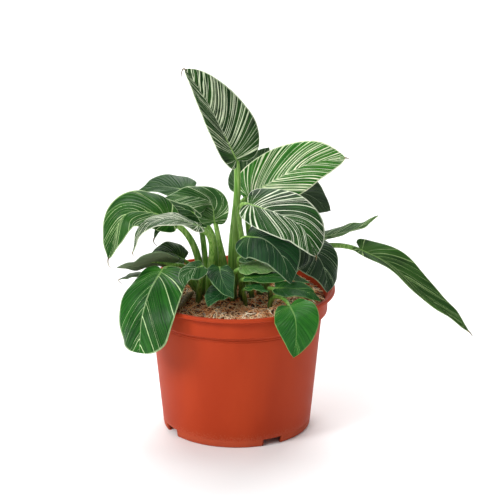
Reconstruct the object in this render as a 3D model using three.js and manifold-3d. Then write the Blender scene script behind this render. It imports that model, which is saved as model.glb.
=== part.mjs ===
// Potted philodendron: a nursery pot, its planting mix, one old root and the leaves.
// Every leaf is one grown piece, blade and stalk together. Millimetres, +Z up.
// The origin is the centre of the pot's foot and the front of the plant faces -Y.
import * as THREE from "three";
import { mergeVertices } from "three/addons/utils/BufferGeometryUtils.js";
import Module from "manifold-3d";

const wasm = await Module();
wasm.setup();

// ---- Sizes ------------------------------------------------------------------

// Pot
const POT_HEIGHT = 114;
const LIP_RADIUS = 78;
const LIP_OVERHANG = 5.6;
const LIP_THICKNESS = 3;
const LIP_INNER_WIDTH = 3;
const BAND_HEIGHT = 15;
const BAND_TAPER = 0.4;
const BAND_STEP = 4;
const FOOT_RADIUS = 58.5;
const FOOT_EDGE = 1.5;
const WALL = 1.5;
const FLOOR_UNDERSIDE = 5;
const FLOOR_THICKNESS = 2;
const PAD_RADIUS = 9;
const NOTCH_WIDTH = 16;
const NOTCH_HEIGHT = 6;
const NOTCH_COUNT = 4;
const NOTCH_FIRST_ANGLE = -61;
const POT_SEGMENTS = 48;

// Planting mix
const MIX_BELOW_LIP = 9;
const MIX_MOUND = 3;
const CLEARANCE = 0.35;

// Leaves
const LEAF_THICKNESS = 0.9;
const STALK_ROOT_RADIUS = 2.7;
const STALK_TIP_RADIUS = 1.9;
const STALK_DEPTH = 7;
const STALK_STEPS = 6;
const SOCKET_SIDES = 8;

// Old root that lies on the mix
const ROOT_RADIUS = 2.3;
const ROOT_STEPS = 8;
const ROOT_SIDES = 8;

// The plant grows with the pot: plant points are set out for a lip of this radius.
const PLANT_LIP_RADIUS = 78;
const PLANT_SCALE = LIP_RADIUS / PLANT_LIP_RADIUS;

// Heights and radii that follow from the sizes above
const BAND_RADIUS = LIP_RADIUS - LIP_OVERHANG;
const LIP_UNDERSIDE = POT_HEIGHT - LIP_THICKNESS;
const BAND_BOTTOM = LIP_UNDERSIDE - BAND_HEIGHT;
const BAND_BOTTOM_RADIUS = BAND_RADIUS - BAND_TAPER;
const BODY_TOP_RADIUS = BAND_BOTTOM_RADIUS - BAND_STEP;
const BAND_INNER_BOTTOM = BAND_BOTTOM + BAND_STEP / 2;
const BODY_INNER_TOP = BAND_BOTTOM - BAND_STEP / 2;
const MIX_EDGE_Z = POT_HEIGHT - MIX_BELOW_LIP;
const FLOOR_TOP = FLOOR_UNDERSIDE + FLOOR_THICKNESS;

// Colours
const POT_COLOUR = 0xbc5a36;
const MIX_COLOUR = 0x8a6243;
const ROOT_COLOUR = 0x5b5636;
const GREEN = 0x2f6b34;
const STRIPED = 0x5d8a56;

// ---- Leaf shape -------------------------------------------------------------

// Margin of a blade: [share along a side, half width, distance from the junction].
const MARGIN = [
  [0, 0, 0], [0.08, 0.28, -0.05], [0.18, 0.62, -0.035], [0.30, 0.90, 0.09], [0.42, 1.0, 0.27],
  [0.55, 0.90, 0.47], [0.70, 0.64, 0.69], [0.85, 0.33, 0.865], [0.94, 0.12, 0.96], [1, 0, 1],
];
const WIDEST_ROW = 4;
const VEIN_START_POWER = 2.2;
const VEIN_SWEEP_POWER = 1.35;
const BLADE_STATIONS = [0.05, 0.13, 0.22, 0.33, 0.46, 0.60, 0.74, 0.87, 0.975];
const ACROSS = [-1, -0.5, 0, 0.5, 1];

// What a leaf has unless its row says otherwise. left, right: share of the width on each
// half. belly, round: how far the widest part sits towards the tip, and how blunt the tip
// is. lift, reach: how far the stalk rises from the mix and runs out before the junction.
// stalk: its thickness. sheath: how much wider than thick its lower part is.
const LEAF_DEFAULTS = {
  left: 1, right: 1, belly: 0, round: 0, lift: 0.4, reach: 0.3, stalk: 1, sheath: 0, colour: GREEN,
};

// One row a leaf. rib: points along the midrib from junction to tip, x and y from the
// pot's axis and z from the lip. face: which way the upper side looks, at the junction
// and at the tip. foot: where the stalk enters the mix. width: across both halves.
// fold: degrees that each half rises. cup: degrees that each half bends further.
const LEAVES = {
  leaf_top: {
    rib: [[0, 4, 103], [-9, 6, 122], [-22, 10, 147], [-33, 14, 164], [-40, 18, 173]],
    face: [[0.35, -1, 0.3], [0.2, -1, 0.7]], foot: [-3, 4], width: 55, fold: [46, 0], cup: -15,
    left: 0.68, right: 1.08, belly: -0.03, round: 0.35, reach: 0.1, stalk: 1.3, sheath: 0.6,
    colour: STRIPED,
  },
  leaf_right_upper: {
    rib: [[8, 12, 71], [32, 14, 85], [58, 16, 97], [86, 18, 101]],
    face: [[-0.25, -0.75, 0.8], [-0.1, -0.9, 0.6]], foot: [8, 12], width: 50, fold: [12, 5],
    cup: -20, right: 0.85, belly: 0.1, colour: STRIPED,
  },
  leaf_right_middle: {
    rib: [[10, -13, 73], [31, -21, 68], [51, -30, 59], [62, -38, 38]],
    face: [[0.1, -0.6, 0.85], [0.4, -0.8, 0.45]], foot: [11, 0], width: 60, fold: [5, 5],
    cup: -20, left: 0.8, right: 0.68, belly: 0.12, colour: STRIPED,
  },
  leaf_right_lower: {
    rib: [[8, -18, 48], [22, -32, 50], [35, -44, 41], [42, -56, 22]],
    face: [[0.2, -0.7, 0.75], [0.45, -0.8, 0.35]], foot: [4, -6], width: 56, fold: [0, 0],
    cup: -25, left: 0.9, right: 0.75,
  },
  leaf_right_rim: {
    rib: [[50, -12, 39], [64, -18, 31], [70, -26, 19], [71, -34, 7]],
    face: [[0.4, -0.5, 0.75], [0.7, -0.6, 0.25]], foot: [18, -4], width: 52, fold: [0, 0],
    cup: -20, left: 0.85,
  },
  leaf_back_right: {
    rib: [[20, 22, 76], [38, 28, 72], [58, 34, 65], [75, 38, 51]],
    face: [[0.1, -0.6, 0.85], [0.3, -0.7, 0.6]], foot: [14, 17], width: 54, fold: [0, 0],
    cup: -20,
  },
  leaf_far_right_upper: {
    rib: [[66, 10, 38], [86, 12, 42], [101, 14, 47], [112, 16, 54]],
    face: [[-0.2, -0.25, 0.95], [-0.3, -0.25, 0.95]], foot: [20, 12], width: 28, fold: [5, 5],
    cup: -20, left: 0.7, right: 0.3,
  },
  leaf_far_right: {
    rib: [[98, 4, 30], [122, -2, 19], [148, -8, -3], [184, -14, -33]],
    face: [[0.3, -0.45, 0.85], [0.45, -0.45, 0.7]], foot: [23, 6], width: 46, fold: [25, 10],
    cup: -10, left: 0.6, right: 0.32, belly: 0.05, colour: STRIPED,
  },
  leaf_left_upper: {
    rib: [[-50, -10, 58], [-66, -14, 66], [-87, -20, 66], [-100, -27, 32]],
    face: [[-0.1, -0.6, 0.85], [-0.6, -0.6, 0.5]], foot: [-27, -1], width: 50, fold: [5, 5],
    cup: -25, left: 0.6, right: 0.85, belly: 0.08, stalk: 1.2, sheath: 0.2, colour: STRIPED,
  },
  leaf_left_front: {
    rib: [[-29, -34, 62], [-50, -40, 70], [-70, -46, 67], [-80, -50, 45]],
    face: [[0, -0.1, 1], [-0.7, -0.1, 0.7]], foot: [-22, -10], width: 28, fold: [5, 5],
    cup: -20, stalk: 1.1, sheath: 0.5, colour: STRIPED,
  },
  leaf_left_middle: {
    rib: [[-25, 8, 51], [-38, 8, 61], [-53, 6, 60], [-65, 0, 40]],
    face: [[-0.1, -0.6, 0.8], [-0.5, -0.6, 0.5]], foot: [-19, 2], width: 36, fold: [0, 0],
    cup: -20, left: 0.35, right: 0.7, stalk: 1.1, sheath: 0.9,
  },
  leaf_back_left: {
    rib: [[-37, 24, 72], [-51, 30, 73], [-65, 36, 72], [-80, 42, 65]],
    face: [[0, -0.5, 0.9], [-0.2, -0.5, 0.9]], foot: [-24, 12], width: 40, fold: [5, 5],
    cup: -20, left: 0.45, right: 0.75, reach: 0.1,
  },
  leaf_centre_left: {
    rib: [[-17, -16, 59], [-20, -20, 76], [-34, -26, 83], [-55, -32, 84]],
    face: [[-0.2, -0.8, 0.5], [0, -0.5, 0.8]], foot: [-9, -5], width: 38, fold: [5, 5],
    cup: -25, left: 0.8, right: 0.65, sheath: 0.6, colour: STRIPED,
  },
  leaf_back_centre: {
    rib: [[3, 42, 65], [12, 48, 80], [20, 54, 90], [26, 60, 97]],
    face: [[0.1, -1, 0.2], [0.1, -1, 0.2]], foot: [2, 22], width: 30, fold: [5, 5], cup: -20,
  },
  leaf_low_left: {
    rib: [[-49, -6, 22], [-64, -8, 24], [-80, -10, 21], [-94, -12, 20]],
    face: [[0, 0.7, 0.75], [0, 0.7, 0.75]], foot: [-31, 12], width: 32, fold: [5, 5], cup: -10,
    right: 0.7, stalk: 0.85,
  },
  leaf_low_left_front: {
    rib: [[-60, -8, 14], [-73, -10, 13], [-85, -12, 13], [-92, -14, 11]],
    face: [[0, 0.1, 0.95], [0, 0.1, 0.95]], foot: [-33, 5], width: 20, fold: [5, 5], cup: -10,
    lift: 0.25, stalk: 0.85,
  },
  leaf_low_left_back: {
    rib: [[-42, 12, 19], [-51, 12, 24], [-61, 12, 24], [-70, 12, 20]],
    face: [[0, -0.5, 0.9], [0, -0.5, 0.9]], foot: [-31, 19], width: 24, fold: [5, 5],
    cup: -10, stalk: 0.85,
  },
  leaf_front_left: {
    rib: [[-58, -28, 24], [-67, -47, 13], [-73, -60, -5], [-75, -67, -31]],
    face: [[-0.45, -0.65, 0.6], [-0.62, -0.75, 0.1]], foot: [-29, -13], width: 58, fold: [3, 3],
    cup: -25, right: 0.9, belly: 0.22, round: 0.8, stalk: 0.95, colour: STRIPED,
  },
  leaf_small_left: {
    rib: [[-26, -42, 32], [-34, -48, 31], [-40, -52, 27], [-41, -54, 18]],
    face: [[-0.1, -0.6, 0.8], [-0.3, -0.8, 0.4]], foot: [-30, -25], width: 24, fold: [0, 0],
    cup: -20, left: 0.8, right: 0.6, reach: 0.1, stalk: 0.85,
  },
  leaf_centre_front: {
    rib: [[-13, -26, 25], [-12, -38, 23], [-8, -50, 17], [-2, -58, 11]],
    face: [[0.1, -0.6, 0.85], [0.2, -0.7, 0.6]], foot: [-9, -12], width: 40, fold: [5, 5],
    cup: -20, left: 0.55, right: 0.55, stalk: 0.85,
  },
  leaf_small_front: {
    rib: [[-6, -40, 12], [-12, -46, 11], [-17, -52, 9], [-22, -58, 4]],
    face: [[-0.1, -0.4, 0.9], [-0.3, -0.5, 0.7]], foot: [-3, -21], width: 26, fold: [5, 5],
    cup: -20, left: 0.6, stalk: 0.85,
  },
  leaf_rolled: {
    rib: [[4, -29, 26], [13, -30, 27], [22, -32, 27], [31, -35, 25]],
    face: [[0.1, -0.2, 0.9], [0.1, -0.2, 0.9]], foot: [-2, -11], width: 28, fold: [5, 5],
    cup: -30, right: 0.7, belly: 0.1, left: 0.7, stalk: 0.85,
  },
  leaf_low_right: {
    rib: [[8, -38, 21], [25, -39, 22], [42, -41, 22], [57, -45, 19]],
    face: [[0, -0.3, 0.95], [0.1, -0.3, 0.95]], foot: [5, -18], width: 30, fold: [5, 5],
    cup: -20, right: 0.5, left: 0.6, stalk: 0.85,
  },
  leaf_low_right_front: {
    rib: [[8, -42, 14], [14, -44, 15], [20, -47, 14], [25, -49, 13]],
    face: [[0, -0.3, 0.95], [0.1, -0.3, 0.95]], foot: [7, -28], width: 15, fold: [5, 5],
    cup: -20, right: 0.5, left: 0.7, stalk: 0.75,
  },
  leaf_front_right: {
    rib: [[41, -70, 9], [45, -80, 3], [46, -85, -10], [44, -87, -27]],
    face: [[-0.05, -0.8, 0.6], [0, -0.95, 0.1]], foot: [26, -32], width: 44, fold: [5, 5],
    cup: -25, right: 0.75, left: 0.85, lift: 0.3, stalk: 0.75,
  },
  leaf_front_right_upper: {
    rib: [[31, -51, 17], [43, -55, 18], [55, -59, 16], [65, -62, 10]],
    face: [[0.1, -0.5, 0.85], [0.3, -0.6, 0.6]], foot: [27, -21], width: 34, fold: [5, 5],
    cup: -25, right: 0.5, left: 0.45, stalk: 0.85,
  },
  leaf_small_centre: {
    rib: [[3, -24, 33], [9, -28, 36], [16, -31, 40], [22, -34, 38]],
    face: [[0, -0.7, 0.7], [0.2, -0.7, 0.6]], foot: [12, -12], width: 24, fold: [5, 5],
    cup: -20, right: 0.5, stalk: 0.85,
  },
};

// ---- Curves -----------------------------------------------------------------

const vec = (p) => new THREE.Vector3(p[0], p[1], p[2]);

function plantPoint([x, y, aboveLip]) {
  return new THREE.Vector3(x, y, aboveLip).multiplyScalar(PLANT_SCALE)
    .add(new THREE.Vector3(0, 0, POT_HEIGHT));
}

// Part of a vector that is square to a direction, one long.
function squareTo(vector, direction) {
  return vector.clone().addScaledVector(direction, -vector.dot(direction)).normalize();
}

// Half width and distance of the margin at a station, by Hermite pieces through its rows.
function marginAt(station) {
  const last = MARGIN.length - 1;
  let row = 0;
  while (row < last - 1 && MARGIN[row + 1][0] <= station) row += 1;
  const slope = (i, column) => {
    const before = MARGIN[Math.max(i - 1, 0)];
    const after = MARGIN[Math.min(i + 1, last)];
    return (after[column] - before[column]) / (after[0] - before[0]);
  };
  const a = MARGIN[row];
  const b = MARGIN[row + 1];
  const step = b[0] - a[0];
  const s = (station - a[0]) / step;
  const value = (column) => (2 * s ** 3 - 3 * s ** 2 + 1) * a[column]
    + (s ** 3 - 2 * s ** 2 + s) * step * slope(row, column)
    + (3 * s ** 2 - 2 * s ** 3) * b[column]
    + (s ** 3 - s ** 2) * step * slope(row + 1, column);
  return { wide: value(1), along: value(2) };
}

// Midrib of a leaf: place and direction at a share of its length, straight before 0.
function ribOf(leaf) {
  const curve = new THREE.CatmullRomCurve3(leaf.rib.map(plantPoint), false, "centripetal");
  const length = curve.getLength();
  return (share) => {
    const inside = THREE.MathUtils.clamp(share, 0, 1);
    const tangent = curve.getTangentAt(inside);
    const place = curve.getPointAt(inside).addScaledVector(tangent, (share - inside) * length);
    return { place, tangent };
  };
}

// ---- Leaf solid -------------------------------------------------------------

// One point of the blade's upper side, with its direction out of the leaf. across runs
// from -1 at the left margin to 1 at the right one, along the side veins.
function bladePoint(leaf, rib, station, across) {
  const side = Math.sign(across);
  const reach = Math.abs(across);
  const margin = marginAt(station);
  const inside = THREE.MathUtils.clamp(margin.along, 0, 1);
  const along = margin.along + leaf.belly * 4 * inside * (1 - inside);
  const pastWidest = station > MARGIN[WIDEST_ROW][0];
  const wide = pastWidest ? margin.wide ** (1 / (1 + leaf.round)) : margin.wide;
  const start = station ** VEIN_START_POWER;
  const share = start + (along - start) * reach ** VEIN_SWEEP_POWER;
  const half = (leaf.width * PLANT_SCALE) / 2;
  const distance = wide * reach * half * (side < 0 ? leaf.left : leaf.right);
  const { place, tangent } = rib(share);
  const blend = THREE.MathUtils.clamp(share, 0, 1);
  const up = squareTo(vec(leaf.face[0]).lerp(vec(leaf.face[1]), blend), tangent);
  const right = new THREE.Vector3().crossVectors(tangent, up);
  const cup = THREE.MathUtils.degToRad(leaf.cup);
  const fold = THREE.MathUtils.degToRad(leaf.fold[side < 0 ? 0 : 1]);
  const bend = (cup * distance) / half;
  const outward = (half / cup) * Math.sin(bend);
  const rise = (half / cup) * (1 - Math.cos(bend));
  const x = outward * Math.cos(fold) - rise * Math.sin(fold);
  const z = outward * Math.sin(fold) + rise * Math.cos(fold);
  const tilt = side === 0 ? 0 : fold + bend;
  const point = place.clone().addScaledVector(right, x * side).addScaledVector(up, z);
  const normal = up.clone().multiplyScalar(Math.cos(tilt))
    .addScaledVector(right, -side * Math.sin(tilt));
  return { point, normal };
}

// Ring of ten points round the blade at one station: upper side, then lower side back.
function bladeRing(leaf, rib, station) {
  const upper = ACROSS.map((across) => bladePoint(leaf, rib, station, across));
  const lower = upper.map(({ point, normal }) => point.clone()
    .addScaledVector(normal, -LEAF_THICKNESS));
  return [...upper.map(({ point }) => point), ...lower.reverse()];
}

// Ring round a centre, clockwise from the left of the upper side.
function roundRing(centre, up, right, sides, halfWidth, halfHeight) {
  const ring = [];
  for (let k = 0; k < sides; k += 1) {
    const angle = Math.PI * (1 - (2 * k + 1) / sides);
    ring.push(centre.clone().addScaledVector(right, halfWidth * Math.cos(angle))
      .addScaledVector(up, halfHeight * Math.sin(angle)));
  }
  return ring;
}

// Rings of the stalk: upright in the mix, then curving over to the junction.
function stalkRings(leaf, rib) {
  const { place, tangent } = rib(0);
  const footX = leaf.foot[0] * PLANT_SCALE;
  const footY = leaf.foot[1] * PLANT_SCALE;
  const foot = new THREE.Vector3(footX, footY, MIX_EDGE_Z - STALK_DEPTH);
  const collar = new THREE.Vector3(footX, footY, MIX_EDGE_Z + MIX_MOUND);
  const gap = collar.distanceTo(place);
  const risen = collar.clone().add(new THREE.Vector3(0, 0, gap * leaf.lift));
  const arriving = place.clone().addScaledVector(tangent, -gap * leaf.reach);
  const path = new THREE.CubicBezierCurve3(collar, risen, arriving, place);
  const sides = ACROSS.length * 2;
  const rings = [];
  let up = squareTo(vec(leaf.face[0]), tangent);
  for (let i = STALK_STEPS; i >= 0; i -= 1) {
    const share = i / STALK_STEPS;
    const along = path.getTangentAt(share);
    up = squareTo(up, along);
    const right = new THREE.Vector3().crossVectors(along, up);
    const radius = THREE.MathUtils.lerp(STALK_ROOT_RADIUS, STALK_TIP_RADIUS, share) * leaf.stalk;
    const halfWidth = radius * (1 + leaf.sheath * Math.sin(Math.PI * Math.min(share * 1.25, 1)) ** 2);
    const centre = path.getPointAt(share).addScaledVector(up, -share * radius * 0.6);
    rings.unshift(roundRing(centre, up, right, sides, halfWidth, radius));
    if (i === 0) rings.unshift(roundRing(foot, up, right, sides, radius, radius));
  }
  return rings;
}

// Closed geometry through rings of equal count, with flat ends.
function loft(rings) {
  const count = rings[0].length;
  const positions = rings.flat().flatMap((p) => [p.x, p.y, p.z]);
  const faces = [];
  for (let r = 0; r < rings.length - 1; r += 1) {
    for (let k = 0; k < count; k += 1) {
      const a = r * count + k;
      const b = r * count + ((k + 1) % count);
      faces.push(a, b, a + count, b, b + count, a + count);
    }
  }
  const end = (rings.length - 1) * count;
  for (let k = 0; k < count / 2 - 1; k += 1) {
    const a = k;
    const b = k + 1;
    const c = count - 2 - k;
    const d = count - 1 - k;
    faces.push(a, d, b, b, d, c, end + a, end + b, end + d, end + b, end + c, end + d);
  }
  const geometry = new THREE.BufferGeometry();
  geometry.setAttribute("position", new THREE.Float32BufferAttribute(positions, 3));
  geometry.setIndex(faces);
  return geometry;
}

function leafGeometry(leaf) {
  const rib = ribOf(leaf);
  const blade = BLADE_STATIONS.map((station) => bladeRing(leaf, rib, station));
  return loft([...stalkRings(leaf, rib), ...blade]);
}

// ---- Booleans -----------------------------------------------------------------

// Closed geometry as a solid that can be cut, with its shared corners merged.
function solidOf(geometry) {
  geometry.deleteAttribute("normal");
  geometry.deleteAttribute("uv");
  const merged = mergeVertices(geometry);
  const corners = merged.index.array;
  const kept = [];
  for (let i = 0; i < corners.length; i += 3) {
    const [a, b, c] = corners.slice(i, i + 3);
    if (a !== b && b !== c && c !== a) kept.push(a, b, c);
  }
  return new wasm.Manifold(new wasm.Mesh({
    numProp: 3,
    vertProperties: Float32Array.from(merged.attributes.position.array),
    triVerts: Uint32Array.from(kept),
  }));
}

function geometryOf(solid) {
  const mesh = solid.getMesh();
  const geometry = new THREE.BufferGeometry();
  geometry.setAttribute("position", new THREE.Float32BufferAttribute(mesh.vertProperties, 3));
  geometry.setIndex(Array.from(mesh.triVerts));
  return geometry;
}

// Turned geometry about Z. A profile of [radius, z] runs from the axis back to it, and up
// on its outside.
function turned(profile) {
  const points = profile.map(([radius, z]) => new THREE.Vector2(radius, z));
  return new THREE.LatheGeometry(points, POT_SEGMENTS).rotateX(Math.PI / 2);
}

// ---- Pot --------------------------------------------------------------------

const bodyRadiusAt = (z) => THREE.MathUtils.mapLinear(z, 0, BAND_BOTTOM, FOOT_RADIUS, BODY_TOP_RADIUS);

function notchCutter(number) {
  const angle = NOTCH_FIRST_ANGLE - 90 + (360 / NOTCH_COUNT) * number;
  return new THREE.BoxGeometry(WALL * 10, NOTCH_WIDTH, NOTCH_HEIGHT * 2)
    .translate(FOOT_RADIUS, 0, 0)
    .rotateZ(THREE.MathUtils.degToRad(angle));
}

function potGeometry() {
  const shell = turned([
    [0, 0], [PAD_RADIUS, 0], [PAD_RADIUS, FLOOR_UNDERSIDE],
    [bodyRadiusAt(FLOOR_UNDERSIDE) - WALL, FLOOR_UNDERSIDE],
    [FOOT_RADIUS - FOOT_EDGE - WALL, 0], [FOOT_RADIUS - FOOT_EDGE, 0],
    [FOOT_RADIUS, FOOT_EDGE],
    [BODY_TOP_RADIUS, BAND_BOTTOM - WALL / 2], [BAND_BOTTOM_RADIUS, BAND_BOTTOM],
    [BAND_RADIUS, LIP_UNDERSIDE],
    [LIP_RADIUS - WALL / 2, LIP_UNDERSIDE], [LIP_RADIUS, LIP_UNDERSIDE + WALL / 2],
    [LIP_RADIUS, POT_HEIGHT - WALL / 2], [LIP_RADIUS - WALL / 2, POT_HEIGHT],
    [LIP_RADIUS - LIP_INNER_WIDTH, POT_HEIGHT],
    [BAND_RADIUS - WALL, LIP_UNDERSIDE - WALL * 2],
    [BAND_BOTTOM_RADIUS - WALL, BAND_INNER_BOTTOM],
    [BODY_TOP_RADIUS - WALL, BODY_INNER_TOP],
    [bodyRadiusAt(FLOOR_TOP) - WALL, FLOOR_TOP], [0, FLOOR_TOP],
  ]);
  let pot = solidOf(shell);
  for (let i = 0; i < NOTCH_COUNT; i += 1) {
    pot = pot.subtract(solidOf(notchCutter(i)));
  }
  return geometryOf(pot);
}

// ---- Planting mix -----------------------------------------------------------

// Socket that a leaf's stalk stands in, a clearance wider and deeper than the stalk.
function socketCutter(leaf) {
  const radius = STALK_ROOT_RADIUS * leaf.stalk + CLEARANCE * 2;
  const depth = STALK_DEPTH + CLEARANCE;
  const height = depth + MIX_MOUND * 4;
  return new THREE.CylinderGeometry(radius, radius, height, SOCKET_SIDES)
    .rotateX(Math.PI / 2)
    .translate(leaf.foot[0] * PLANT_SCALE, leaf.foot[1] * PLANT_SCALE,
      MIX_EDGE_Z - depth + height / 2);
}

function mixGeometry() {
  const inset = WALL + CLEARANCE * 2;
  const edgeRadius = THREE.MathUtils.mapLinear(MIX_EDGE_Z, BAND_BOTTOM, LIP_UNDERSIDE,
    BAND_BOTTOM_RADIUS, BAND_RADIUS) - inset;
  const heap = turned([
    [0, FLOOR_TOP + CLEARANCE],
    [bodyRadiusAt(FLOOR_TOP) - inset, FLOOR_TOP + CLEARANCE],
    [BODY_TOP_RADIUS - inset, BODY_INNER_TOP - CLEARANCE],
    [BAND_BOTTOM_RADIUS - inset, BAND_INNER_BOTTOM + CLEARANCE],
    [edgeRadius, MIX_EDGE_Z - MIX_MOUND / 2],
    [edgeRadius * 0.94, MIX_EDGE_Z],
    [edgeRadius * 0.6, MIX_EDGE_Z + MIX_MOUND * 0.7],
    [0, MIX_EDGE_Z + MIX_MOUND],
  ]);
  let mix = solidOf(heap);
  for (const leaf of plant.values()) {
    mix = mix.subtract(solidOf(socketCutter(leaf)));
  }
  return geometryOf(mix);
}

// ---- Old root ---------------------------------------------------------------

// It lies across the mix, from beside the left stalks towards the front left.
const ROOT_POINTS = [[-35, -7, -3.2], [-39, -17, -2.6], [-42, -28, -3.2], [-46, -39, -4.4]];

function rootGeometry() {
  const path = new THREE.CatmullRomCurve3(ROOT_POINTS.map(plantPoint), false, "centripetal");
  const rings = [];
  for (let i = 0; i <= ROOT_STEPS; i += 1) {
    const share = i / ROOT_STEPS;
    const along = path.getTangentAt(share);
    const up = squareTo(new THREE.Vector3(0, 0, 1), along);
    const right = new THREE.Vector3().crossVectors(along, up);
    const radius = ROOT_RADIUS * (1 - 0.35 * Math.abs(share * 2 - 1) ** 3);
    rings.push(roundRing(path.getPointAt(share), up, right, ROOT_SIDES, radius, radius));
  }
  return loft(rings);
}

// ---- Scene ------------------------------------------------------------------

const plant = new Map(Object.entries(LEAVES)
  .map(([name, row]) => [name, { ...LEAF_DEFAULTS, ...row }]));
const group = new THREE.Group();

function add(name, geometry, color, roughness) {
  geometry.computeVertexNormals();
  const material = new THREE.MeshStandardMaterial({ color, roughness, metalness: 0 });
  const mesh = new THREE.Mesh(geometry, material);
  mesh.name = name;
  group.add(mesh);
}

add("pot", potGeometry(), POT_COLOUR, 0.45);
add("planting_mix", mixGeometry(), MIX_COLOUR, 0.95);
add("old_root", rootGeometry(), ROOT_COLOUR, 0.7);
for (const [name, leaf] of plant) {
  add(name, leafGeometry(leaf), leaf.colour, 0.4);
}

export default group;
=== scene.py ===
"""Looks of the potted philodendron: leaves, stalks, planting mix, old root and pot.

Shapes are worked out in millimetres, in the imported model's own frame, and turned into
metres when each mesh is made. Materials, lights and the camera's place are in metres. +Z is
up and the front of the plant faces -Y.
"""
import math
import random

import bpy
import numpy as np
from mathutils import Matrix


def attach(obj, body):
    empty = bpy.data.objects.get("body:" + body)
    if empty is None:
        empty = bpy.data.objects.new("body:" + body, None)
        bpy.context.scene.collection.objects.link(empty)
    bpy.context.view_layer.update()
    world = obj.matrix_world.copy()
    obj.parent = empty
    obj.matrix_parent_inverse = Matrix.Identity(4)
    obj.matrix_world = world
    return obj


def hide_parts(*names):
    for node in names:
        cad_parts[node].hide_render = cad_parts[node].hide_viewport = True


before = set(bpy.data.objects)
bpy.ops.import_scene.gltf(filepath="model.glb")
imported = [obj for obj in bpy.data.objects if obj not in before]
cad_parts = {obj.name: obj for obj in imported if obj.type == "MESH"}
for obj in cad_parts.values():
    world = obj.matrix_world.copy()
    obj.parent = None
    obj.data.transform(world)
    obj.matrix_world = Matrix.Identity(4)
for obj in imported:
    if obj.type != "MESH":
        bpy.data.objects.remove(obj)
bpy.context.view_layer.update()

MM = 0.001

# ---- Sizes of the CAD model, in millimetres ----

POT_HEIGHT = 114.0
LIP_RADIUS = 78.0
LIP_THICKNESS = 3.0
LIP_INNER_WIDTH = 3.0
BAND_RADIUS = 72.4
BAND_BOTTOM_RADIUS = 72.0
BAND_BOTTOM = 96.0
BODY_TOP_RADIUS = 68.0
FOOT_RADIUS = 58.5
WALL = 1.5
FLOOR_UNDERSIDE = 5.0
FLOOR_TOP = 7.0
PAD_RADIUS = 9.0
MIX_EDGE_Z = 105.0
MIX_MOUND = 3.0
NOTCH_WIDTH = 16.0
NOTCH_HEIGHT = 6.0
NOTCH_COUNT = 4
NOTCH_FIRST_ANGLE = -61.0
ROOT_RADIUS = 2.3
ROOT_POINTS = ((-35, -7, -3.2), (-39, -17, -2.6), (-42, -28, -3.2), (-46, -39, -4.4))

# ---- Leaf shape ----

# Margin of a blade: share along a side, half width, distance from the junction. The veins
# start on the midrib and sweep out to the margin by two powers, and a third spreads the
# pale lines along the blade.
MARGIN = np.array([
    (0.00, 0.00, 0.000), (0.08, 0.28, -0.050), (0.18, 0.62, -0.035), (0.30, 0.90, 0.090),
    (0.42, 1.00, 0.270), (0.55, 0.90, 0.470), (0.70, 0.64, 0.690), (0.85, 0.33, 0.865),
    (0.94, 0.12, 0.960), (1.00, 0.00, 1.000)])
WIDEST_ROW = 4
VEIN_START_POWER = 3.1
VEIN_SWEEP_POWER = 1.2
LINE_SPREAD_POWER = 1.8

# What a leaf has unless its row says otherwise.
LEAF_DEFAULTS = dict(fold=(5, 5), cup=-20, left=1, right=1, belly=0, round=0,
                     lift=0.4, reach=0.3, stalk=1, sheath=0)

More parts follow.
